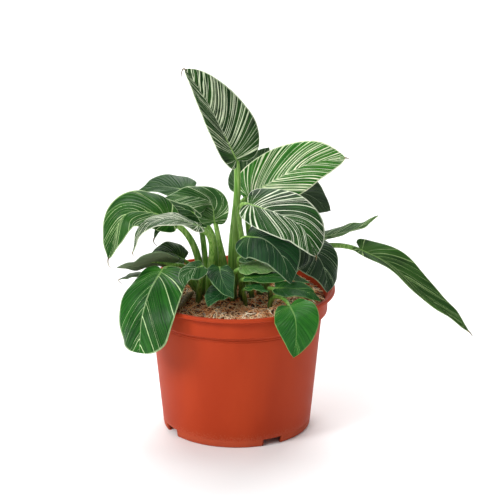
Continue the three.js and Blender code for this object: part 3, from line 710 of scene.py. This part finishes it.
def blade_parts(leaf, rib, seed):
    """Vertices, faces, slots and UVs of one closed blade, thicker under its midrib."""
    top, station, across, up = blade_grid(leaf, rib, seed)
    rows, cols = top.shape[:2]
    du = np.gradient(top, axis=0)
    dv = np.gradient(top, axis=1)
    normal = np.cross(dv, du)
    size = np.linalg.norm(normal, axis=-1, keepdims=True)
    normal = np.where(size > 1e-7, normal / np.maximum(size, 1e-9), up)
    normal = np.where((normal * up).sum(-1, keepdims=True) < 0, -normal, normal)
    ridge = np.exp(-(across / KEEL_HALF_WIDTH) ** 2)
    keel = KEEL_DEPTH * ridge[None, :] * np.clip(1.1 - station, 0, 1)[:, None]
    bottom = top - normal * (BLADE_THICKNESS + keel)[..., None]
    verts = np.vstack([top.reshape(-1, 3), bottom.reshape(-1, 3)])
    count = rows * cols
    r, c = np.meshgrid(np.arange(rows - 1), np.arange(cols - 1), indexing="ij")
    a = (r * cols + c).ravel()
    upper = np.stack([a, a + 1, a + cols + 1, a + cols], 1)
    lower = upper[:, ::-1] + count
    rim = []
    for col in (0, cols - 1):
        k = np.arange(rows - 1) * cols + col
        strip = np.stack([k, k + cols, k + cols + count, k + count], 1)
        rim.append(strip if col == 0 else strip[:, ::-1])
    for row in (0, rows - 1):
        k = row * cols + np.arange(cols - 1)
        strip = np.stack([k, k + count, k + count + 1, k + 1], 1)
        rim.append(strip if row == 0 else strip[:, ::-1])
    faces = np.vstack([upper, lower, *rim])
    slots = np.full(len(faces), UPPER_SLOT)
    slots[len(upper):len(upper) + len(lower)] = LOWER_SLOT
    grid_u = np.repeat(station[:, None] ** LINE_SPREAD_POWER, cols, 1)
    grid_v = np.repeat((across[None, :] + 1) / 2, rows, 0)
    uv = np.stack([grid_u.ravel(), grid_v.ravel()], 1)
    return verts, faces.tolist(), slots, np.vstack([uv, uv])


def stalk_parts(leaf, rib, first):
    """Vertices and faces of a stalk that runs on under the blade as its midrib."""
    start, way = rib.at(0.0)
    x, y = leaf["foot"]
    foot = np.array([x, y, MIX_EDGE_Z - STALK_SINK])
    collar = np.array([x, y, MIX_EDGE_Z + MIX_MOUND])
    gap = np.linalg.norm(collar - start)
    p1 = collar + np.array([0, 0, gap * leaf["lift"]])
    p2 = start - way * gap * leaf["reach"]
    t = np.linspace(0, 1, STALK_SAMPLES)[:, None]
    curve = ((1 - t) ** 3 * collar + 3 * (1 - t) ** 2 * t * p1 + 3 * (1 - t) * t ** 2 * p2
             + t ** 3 * start)
    rising, _ = evened(np.vstack([foot[None], curve]), STALK_STEPS)
    under_share = np.linspace(MIDRIB_FIRST_SHARE, MIDRIB_LAST_SHARE, MIDRIB_STEPS)
    under, under_way = rib.at(under_share)
    under_up = facing(leaf, under_share, under_way)
    # The upward side is carried back from the junction so that the stalk never twists.
    ways = unit(np.gradient(rising, axis=0))
    ups = np.zeros_like(rising)
    up = facing(leaf, np.zeros(()), way)
    for i in range(len(rising) - 1, -1, -1):
        up = unit(up - ways[i] * (up * ways[i]).sum())
        ups[i] = up
    share = np.linspace(0, 1, STALK_STEPS)
    radii = (STALK_ROOT_RADIUS + (STALK_TIP_RADIUS - STALK_ROOT_RADIUS) * share) * leaf["stalk"]
    swell = 1 + leaf["sheath"] * np.sin(np.pi * np.clip(share * 1.25, 0, 1)) ** 2
    rising = rising - ups * (share ** 2 * radii * 1.1)[:, None]
    under_radii = radii[-1] * (1 - under_share / MIDRIB_VANISH_SHARE) ** 0.7
    under = under - under_up * (under_radii * 0.75 + 0.6)[:, None]
    centres = np.vstack([rising, under])
    heights = np.concatenate([radii, under_radii])
    widths = np.concatenate([radii * swell, under_radii])
    return tube_parts(centres, np.vstack([ups, under_up]), widths, heights, STALK_SIDES, first)


def hook_parts(leaf, rib, first):
    """Vertices and faces of a dry drip tip that curls off the end of the midrib."""
    tip, way = rib.at(HOOK_SHARE)
    end = tip + np.array(leaf["hook"], float)
    middle = tip + way * np.linalg.norm(leaf["hook"]) * 0.6
    t = np.linspace(0, 1, HOOK_STEPS)[:, None]
    centres = (1 - t) ** 2 * tip + 2 * (1 - t) * t * middle + t ** 2 * end
    radii = np.linspace(HOOK_ROOT_RADIUS, HOOK_TIP_RADIUS, HOOK_STEPS)
    ups = np.tile(np.array(leaf["face"][1], float), (HOOK_STEPS, 1))
    return tube_parts(centres, ups, radii, radii * 0.7, HOOK_SIDES, first)


def leaf_object(name, leaf, number, shared_skins):
    """One leaf in one mesh: its blade, its stalk and, where it has one, its dry tip."""
    rib = Rib(leaf["rib"])
    verts, faces, slots, uv = blade_parts(leaf, rib, BLADE_SEED + number)
    tubes = [(STALK_SLOT, stalk_parts)]
    if "hook" in leaf:
        tubes.append((TIP_SLOT, hook_parts))
    for slot, parts in tubes:
        tube_verts, tube_faces = parts(leaf, rib, len(verts))
        verts = np.vstack([verts, tube_verts])
        faces = faces + tube_faces
        slots = np.concatenate([slots, np.full(len(tube_faces), slot)])
    uv = np.vstack([uv, np.zeros((len(verts) - len(uv), 2))])
    skins = [leaf_material(name, leaf, number), *shared_skins]
    return make_object("look_" + name, verts, faces, skins, slots, uv)


shared_skins = [underside_and_sheen_material(), stalk_material(), dry_tip_material()]
for number, (name, row) in enumerate(LEAVES.items()):
    piece = leaf_object(name, {**LEAF_DEFAULTS, **row}, number, shared_skins)
    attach(piece, "root")
    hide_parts(name)


# ---- Planting mix ----

MIX_RADIUS = 70.0
MIX_AROUND = 144
MIX_RINGS = 46
MIX_TOP_DROP = 0.3
MIX_ROUGHNESS = 0.28
MIX_SEED, JITTER_SEED, SHADE_SEED = 7, 5, 6
MOUND_RADIUS = 66.0
# Height and radius of the rings below the top: at the pot's step, under it and at its floor.
MIX_SIDE = [(97.8, 69.7), (93.6, 65.7), (7.5, 56.6)]
BODY_TINT = (74, 42, 26)

STRAND_TRIES = 5600
STRAND_SIDES = 3
STRAND_CENTRE_LIMIT = 67.5
STRAND_END_LIMIT = 69.5
STRAND_RADII = [0.18, 0.22, 0.28, 0.36, 0.5]
STRAND_TAPER = np.array([0.5, 0.9, 1.0, 1.0, 0.85, 0.4])
STRAND_TINTS = [(255, 240, 210), (255, 216, 166), (246, 180, 124), (204, 128, 80), (138, 76, 44),
                (70, 38, 24)]
LIGHT_PATCH_WEIGHTS = [9, 11, 9, 4, 1, 0]
DARK_PATCH_WEIGHTS = [1, 1, 2, 5, 8, 8]
DARK_PATCH_LEVEL = -0.15
DARK_PATCH_GAPS = 0.5

CHIP_COUNT = 650
CHIP_CENTRE_LIMIT = 66
CHIP_TINTS = [(226, 156, 102), (190, 112, 68), (142, 76, 44), (88, 48, 30), (46, 26, 18)]
CHIP_WEIGHTS = [3, 6, 6, 5, 4]
CHIP_FACES = [(0, 2, 3, 1), (4, 5, 7, 6), (0, 1, 5, 4), (2, 6, 7, 3), (0, 4, 6, 2), (1, 3, 7, 5)]


def mix_height(x, y):
    """Height of the mix's mean surface, lumpy, in millimetres."""
    r = np.hypot(x, y)
    mound = MIX_MOUND * np.clip(1 - r / MOUND_RADIUS, 0, 1) ** 0.8
    lumps = (1.3 * np.sin(x * 0.21 + 1.3) * np.sin(y * 0.18 + 0.4)
             + 0.7 * np.sin(x * 0.47 - y * 0.35) + 0.6 * np.sin(x * 0.9 + y * 0.7 + 2.0)
             + 0.5 * np.sin(x * 1.3 - 1.0) * np.sin(y * 1.5 + 0.7))
    return MIX_EDGE_Z - 0.6 + mound + lumps * np.clip((MIX_RADIUS - r) / 12, 0, 1)


def patch_weights(x, y):
    """Strands lie in light and dark patches a few millimetres across."""
    patch = (math.sin(x * 0.83 + 1.0) * math.sin(y * 0.91 + 2.0) + 0.7 * math.sin(x * 0.37 - y * 0.52)
             + 0.5 * math.sin(x * 1.7 + y * 1.1))
    return LIGHT_PATCH_WEIGHTS if patch > DARK_PATCH_LEVEL else DARK_PATCH_WEIGHTS


def place_on_mix(rng, limit):
    """A random place on the mix, evenly spread out to a radius."""
    radius = math.sqrt(rng.random()) * limit
    turn = rng.uniform(0, 2 * math.pi)
    return radius * math.cos(turn), radius * math.sin(turn)


def strand(rng):
    """Centre line and radii of one loose coir fibre lying on the mix."""
    x, y = place_on_mix(rng, STRAND_CENTRE_LIMIT)
    heading = rng.uniform(0, 2 * math.pi)
    curl = rng.uniform(-0.9, 0.9)
    length = rng.uniform(6, 20)
    rise = rng.uniform(-1.0, 3.6)
    radius = rng.choice(STRAND_RADII)
    steps = len(STRAND_TAPER)
    points = []
    for i in range(steps):
        t = i / (steps - 1) - 0.5
        a = heading + curl * t * 3
        px = x + math.cos(a) * length * t
        py = y + math.sin(a) * length * t
        far = math.hypot(px, py)
        if far > STRAND_END_LIMIT:
            px, py = px * STRAND_END_LIMIT / far, py * STRAND_END_LIMIT / far
        points.append((px, py, float(mix_height(px, py)) + 0.75 + rise * (0.6 - 2 * t * t)
                       + rng.uniform(-0.15, 0.15)))
    return np.array(points), STRAND_TAPER * radius


def chip(rng):
    """One flat chip of bark or husk: an uneven slab of eight corners."""
    x, y = place_on_mix(rng, CHIP_CENTRE_LIMIT)
    size = np.array([rng.uniform(1.2, 4.2), rng.uniform(0.8, 2.4), rng.uniform(0.35, 0.9)])
    corners = np.array([(sx, sy, sz) for sz in (-1, 1) for sy in (-1, 1) for sx in (-1, 1)], float)
    corners *= size / 2
    corners += np.array([[rng.uniform(-0.35, 0.35) for _ in range(3)] for _ in range(8)])
    yaw, pitch = rng.uniform(0, 6.28), rng.uniform(-0.7, 0.7)
    cy, sy, cp, sp = math.cos(yaw), math.sin(yaw), math.cos(pitch), math.sin(pitch)
    turn_yaw = np.array([[cy, -sy, 0], [sy, cy, 0], [0, 0, 1]])
    tilt = np.array([[cp, 0, sp], [0, 1, 0], [-sp, 0, cp]])
    lift = float(mix_height(x, y)) + rng.uniform(0.0, 1.1)
    return corners @ (turn_yaw @ tilt).T + np.array([x, y, lift])


def mix_body():
    """Body of the mix: a lumpy top joined to a plain side and underside inside the pot."""
    radii = np.linspace(0, MIX_RADIUS, MIX_RINGS + 1)[1:]
    angle = np.linspace(0, 2 * np.pi, MIX_AROUND, endpoint=False)
    x, y = np.outer(radii, np.cos(angle)), np.outer(radii, np.sin(angle))
    jitter = np.random.default_rng(JITTER_SEED).normal(0, MIX_ROUGHNESS, x.shape)
    z = mix_height(x, y) - MIX_TOP_DROP + jitter * np.clip((69 - radii) / 3, 0, 1)[:, None]
    verts = [[[0, 0, float(mix_height(0, 0)) - MIX_TOP_DROP]], np.stack([x, y, z], -1).reshape(-1, 3)]
    for height, radius in MIX_SIDE:
        verts.append(np.stack([radius * np.cos(angle), radius * np.sin(angle),
                               np.full(MIX_AROUND, height)], 1))
    verts.append([[0, 0, MIX_SIDE[-1][0]]])
    verts = np.vstack(verts)
    k = np.arange(MIX_AROUND)
    n = (k + 1) % MIX_AROUND
    spans = MIX_RINGS + len(MIX_SIDE) - 1
    faces = np.stack([np.zeros_like(k), 1 + k, 1 + n], 1).tolist()
    for ring in range(spans):
        a, b = 1 + ring * MIX_AROUND, 1 + (ring + 1) * MIX_AROUND
        faces += np.stack([a + k, b + k, b + n, a + n], 1).tolist()
    last = 1 + spans * MIX_AROUND
    faces += np.stack([np.full_like(k, last + MIX_AROUND), last + n, last + k], 1).tolist()
    shade = np.random.default_rng(SHADE_SEED).uniform(0.5, 1.0, (len(verts), 1))
    tint = np.array(linear(BODY_TINT))[None, :3]
    return verts, faces, np.hstack([tint * shade, np.ones((len(verts), 1))])


def mix_object():
    """Planting mix in one mesh: its body, with loose strands and chips lying on it."""
    rng = random.Random(MIX_SEED)
    body, faces, shades = mix_body()
    verts, colours, total = [body], [shades], len(body)
    for _ in range(STRAND_TRIES):
        points, radii = strand(rng)
        weights = patch_weights(points[2, 0], points[2, 1])
        if weights is DARK_PATCH_WEIGHTS and rng.random() < DARK_PATCH_GAPS:
            continue
        ups = np.tile([0.0, 0.0, 1.0], (len(points), 1))
        tube_verts, tube_faces = tube_parts(points, ups, radii, radii * 0.8, STRAND_SIDES, total)
        tint = linear(rng.choices(STRAND_TINTS, weights)[0])
        verts.append(tube_verts)
        faces += tube_faces
        colours.append(np.tile(tint, (len(tube_verts), 1)))
        total += len(tube_verts)
    for _ in range(CHIP_COUNT):
        corners = chip(rng)
        tint = linear(rng.choices(CHIP_TINTS, CHIP_WEIGHTS)[0])
        verts.append(corners)
        faces += [[total + i for i in face] for face in CHIP_FACES]
        colours.append(np.tile(tint, (len(corners), 1)))
        total += len(corners)
    return make_object("look_planting_mix", np.vstack(verts), faces, [mix_material()],
                       smooth=False, colours=np.vstack(colours))


mix = mix_object()
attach(mix, "root")
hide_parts("planting_mix")


# ---- Old root ----

ROOT_STEPS = 60
ROOT_SIDES = 16


def root_object():
    """Stub of an old root: a knobbly tube that lies along the mix and narrows at its ends."""
    line, _ = through([(x, y, z + POT_HEIGHT) for x, y, z in ROOT_POINTS], ROOT_STEPS)
    share = np.linspace(0, 1, ROOT_STEPS)
    radii = ROOT_RADIUS * (1 - 0.35 * np.abs(share * 2 - 1) ** 3)
    radii = radii * (1 + 0.07 * np.sin(share * 47) + 0.05 * np.sin(share * 113 + 1))
    radii[0] *= 0.6
    radii[-1] *= 0.5
    ups = np.tile([0.0, 0.0, 1.0], (ROOT_STEPS, 1))
    verts, faces = tube_parts(line, ups, radii, radii, ROOT_SIDES)
    return make_object("look_old_root", verts, faces, [root_material()])


root_piece = root_object()
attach(root_piece, "root")
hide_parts("old_root")


# ---- Pot ----

POT_STEPS = 192
FOOT_STEPS = 40
LIP_TOP_EDGE = 0.9
LIP_LOW_EDGE = 0.8
LIP_FILLET = 0.7
BAND_MIDDLE = 104.0
BAND_EDGE = 0.6
BAND_FILLET = 0.4
FOOT_EDGE = 1.3
GROOVE_DROPS = (3.0, 4.6)
GROOVE_DEPTH = 0.28
PAD_BEVEL = 0.4
AXIS_RADIUS = 0.02


def body_radius(z):
    """Outside radius of the tapered body below the band."""
    return FOOT_RADIUS + (BODY_TOP_RADIUS - FOOT_RADIUS) * z / BAND_BOTTOM


def turned(profile, angles, close_ends):
    """Solid of revolution of a closed profile over the given angles, full or a sector."""
    profile = np.array(profile, float)
    count = len(profile)
    verts = np.concatenate([np.stack([profile[:, 0] * math.sin(a), -profile[:, 0] * math.cos(a),
                                      profile[:, 1]], 1) for a in angles])
    faces = []
    spans = len(angles) - 1 if close_ends else len(angles)
    for s in range(spans):
        a, b = s * count, ((s + 1) % len(angles)) * count
        for i in range(count):
            j = (i + 1) % count
            faces.append([a + i, b + i, b + j, a + j])
    if close_ends:
        faces.append(list(range(count)))
        faces.append([spans * count + i for i in reversed(range(count))])
    return verts, faces


def rounded(cx, cz, radius, begin, end, steps=5):
    """Points of a small arc in the profile plane, angles in degrees."""
    return [(cx + radius * math.cos(math.radians(begin + (end - begin) * i / steps)),
             cz + radius * math.sin(math.radians(begin + (end - begin) * i / steps)))
            for i in range(steps + 1)]


def outer_profile():
    """Outside of the pot from its lip down to the notches, with two fine grooves."""
    lip_low = POT_HEIGHT - LIP_THICKNESS
    points = rounded(LIP_RADIUS - LIP_TOP_EDGE, POT_HEIGHT - LIP_TOP_EDGE, LIP_TOP_EDGE, 90, 0)
    points += rounded(LIP_RADIUS - LIP_LOW_EDGE, lip_low + LIP_LOW_EDGE, LIP_LOW_EDGE, 0, -90)
    points += rounded(BAND_RADIUS + LIP_FILLET, lip_low - LIP_FILLET, LIP_FILLET, 90, 180, 4)
    points += [((BAND_RADIUS + BAND_BOTTOM_RADIUS) / 2, BAND_MIDDLE)]
    points += rounded(BAND_BOTTOM_RADIUS - BAND_EDGE, BAND_BOTTOM + BAND_EDGE, BAND_EDGE, 0, -90)
    points += rounded(BODY_TOP_RADIUS + BAND_FILLET, BAND_BOTTOM - 0.5, BAND_FILLET, 90, 180, 3)
    for drop in GROOVE_DROPS:
        z = BAND_BOTTOM - drop
        r = body_radius(z)
        deep = r - GROOVE_DEPTH
        points += [(r, z + 0.35), (deep, z + 0.12), (deep, z - 0.12), (r, z - 0.35)]
    return points + [(body_radius(z), z) for z in (80, 60, 40, 20, NOTCH_HEIGHT)]


def inner_profile():
    """Underside with its centre pad, then the inside from the floor up to the lip."""
    lip_low = POT_HEIGHT - LIP_THICKNESS
    points = [(body_radius(NOTCH_HEIGHT) - WALL, NOTCH_HEIGHT),
              (body_radius(FLOOR_UNDERSIDE) - WALL, FLOOR_UNDERSIDE),
              (PAD_RADIUS, FLOOR_UNDERSIDE), (PAD_RADIUS, PAD_BEVEL), (PAD_RADIUS - PAD_BEVEL, 0.0),
              (AXIS_RADIUS, 0.0), (AXIS_RADIUS, FLOOR_TOP), (body_radius(FLOOR_TOP) - WALL, FLOOR_TOP),
              (BODY_TOP_RADIUS - WALL, BAND_BOTTOM - 2), (BAND_BOTTOM_RADIUS - WALL, BAND_BOTTOM + 2),
              (BAND_RADIUS - WALL, lip_low - 3.0)]
    return points + rounded(LIP_RADIUS - LIP_INNER_WIDTH + LIP_TOP_EDGE, POT_HEIGHT - LIP_TOP_EDGE,
                            LIP_TOP_EDGE, 180, 90)


def foot_profile():
    """Section of the foot ring between two drain notches."""
    top = NOTCH_HEIGHT + 0.2
    points = [(body_radius(NOTCH_HEIGHT) - WALL, top), (body_radius(NOTCH_HEIGHT), top),
              (body_radius(3.0), 3.0)]
    points += rounded(FOOT_RADIUS - FOOT_EDGE, 1.4, FOOT_EDGE, 0, -80)
    return points + [(FOOT_RADIUS - 1.5 - WALL, 0.0)]


def pot_object():
    """Nursery pot: lip, band and tapered body in one turned shell, on a notched foot ring."""
    full = np.linspace(0, 2 * np.pi, POT_STEPS, endpoint=False)
    verts, faces = turned(outer_profile() + inner_profile(), full, False)
    step = 360 / NOTCH_COUNT
    half = math.degrees(NOTCH_WIDTH / 2 / FOOT_RADIUS)
    for i in range(NOTCH_COUNT):
        begin = math.radians(NOTCH_FIRST_ANGLE + step * i + half)
        end = math.radians(NOTCH_FIRST_ANGLE + step * (i + 1) - half)
        part_verts, part_faces = turned(foot_profile(), np.linspace(begin, end, FOOT_STEPS), True)
        faces += [[len(verts) + k for k in face] for face in part_faces]
        verts = np.vstack([verts, part_verts])
    pot = make_object("look_pot", verts, faces, [pot_material()])
    weighted = pot.modifiers.new("crisp", "WEIGHTED_NORMAL")
    weighted.keep_sharp = True
    return pot


pot = pot_object()
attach(pot, "root")
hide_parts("pot")


# ---- Floor, light and camera ----

# In millimetres.
FLOOR_HALF = 6000.0
CAMERA_LENS = 200.9
SENSOR_WIDTH = 36.0
# In metres.
GLOW_BEGIN = 0.7
GLOW_FULL = 3.0
LIGHT_AIM = (0.0, 0.0, 0.14)
CAMERA_DISTANCE = 2.2
CAMERA_AIM = (0.0106, 0.0, 0.1445)

CAMERA_RISE = math.radians(18.6)
GLOW_STRENGTH = 0.62
WORLD_STRENGTH = 0.29


def floor_material():
    """Pale floor; far from the lights it glows a little, so it stays pale in every view."""
    m = Nodes("floor_pale")
    tone = m.noise(m.place(), 3.0, 2.0)
    m.feed("Base Color", m.mix(tone, (0.955, 0.955, 0.955, 1), (0.975, 0.975, 0.975, 1)))
    m.feed("Roughness", 0.8)
    x, y, _ = m.split(m.place())
    away = m.math("SQRT", m.plus(m.times(x, x), m.times(y, y)))
    m.feed("Emission Color", (1, 1, 1, 1))
    m.feed("Emission Strength", m.times(m.ramp(away, GLOW_BEGIN, GLOW_FULL), GLOW_STRENGTH))
    return m.material


def floor_object():
    corners = [(x * FLOOR_HALF, y * FLOOR_HALF, 0) for x, y in ((-1, -1), (1, -1), (1, 1), (-1, 1))]
    return make_object("floor", corners, [(0, 1, 2, 3)], [floor_material()], smooth=False)


floor_object()


def area_light(name, place, target, size, power):
    """A round white light at a place, turned towards its target; size in metres."""
    data = bpy.data.lights.new(name, "AREA")
    data.shape = "DISK"
    data.size = size
    data.energy = power
    obj = in_scene(name, data)
    obj.location = place
    way = np.array(target) - np.array(place)
    flat = math.hypot(way[0], way[1])
    obj.rotation_euler = (math.atan2(flat, -way[2]), 0, math.atan2(-way[0], way[1]))


area_light("key", (-1.4, -1.0, 1.25), LIGHT_AIM, 0.7, 24.0)
area_light("fill", (1.5, -1.2, 0.7), LIGHT_AIM, 1.6, 0.4)
area_light("front", (-0.7, -1.5, 1.6), LIGHT_AIM, 0.7, 10.0)
area_light("top", (0.0, 0.4, 1.7), LIGHT_AIM, 1.4, 11.0)
area_light("floor_wash", (0.0, 3.2, 2.4), (0.0, 3.0, 0.0), 4.0, 150.0)

world = bpy.data.worlds.new("studio")
world.use_nodes = True
background = world.node_tree.nodes["Background"]
background.inputs["Color"].default_value = (1.0, 1.0, 1.0, 1.0)
background.inputs["Strength"].default_value = WORLD_STRENGTH
bpy.context.scene.world = world
bpy.context.scene.view_settings.view_transform = "Standard"

camera_data = bpy.data.cameras.new("camera")
camera_data.sensor_width = SENSOR_WIDTH
camera_data.lens = CAMERA_LENS
camera = in_scene("camera", camera_data)
camera.location = (CAMERA_AIM[0], -CAMERA_DISTANCE * math.cos(CAMERA_RISE),
                   CAMERA_AIM[2] + CAMERA_DISTANCE * math.sin(CAMERA_RISE))
camera.rotation_euler = (math.pi / 2 - CAMERA_RISE, 0, 0)
bpy.context.scene.camera = camera
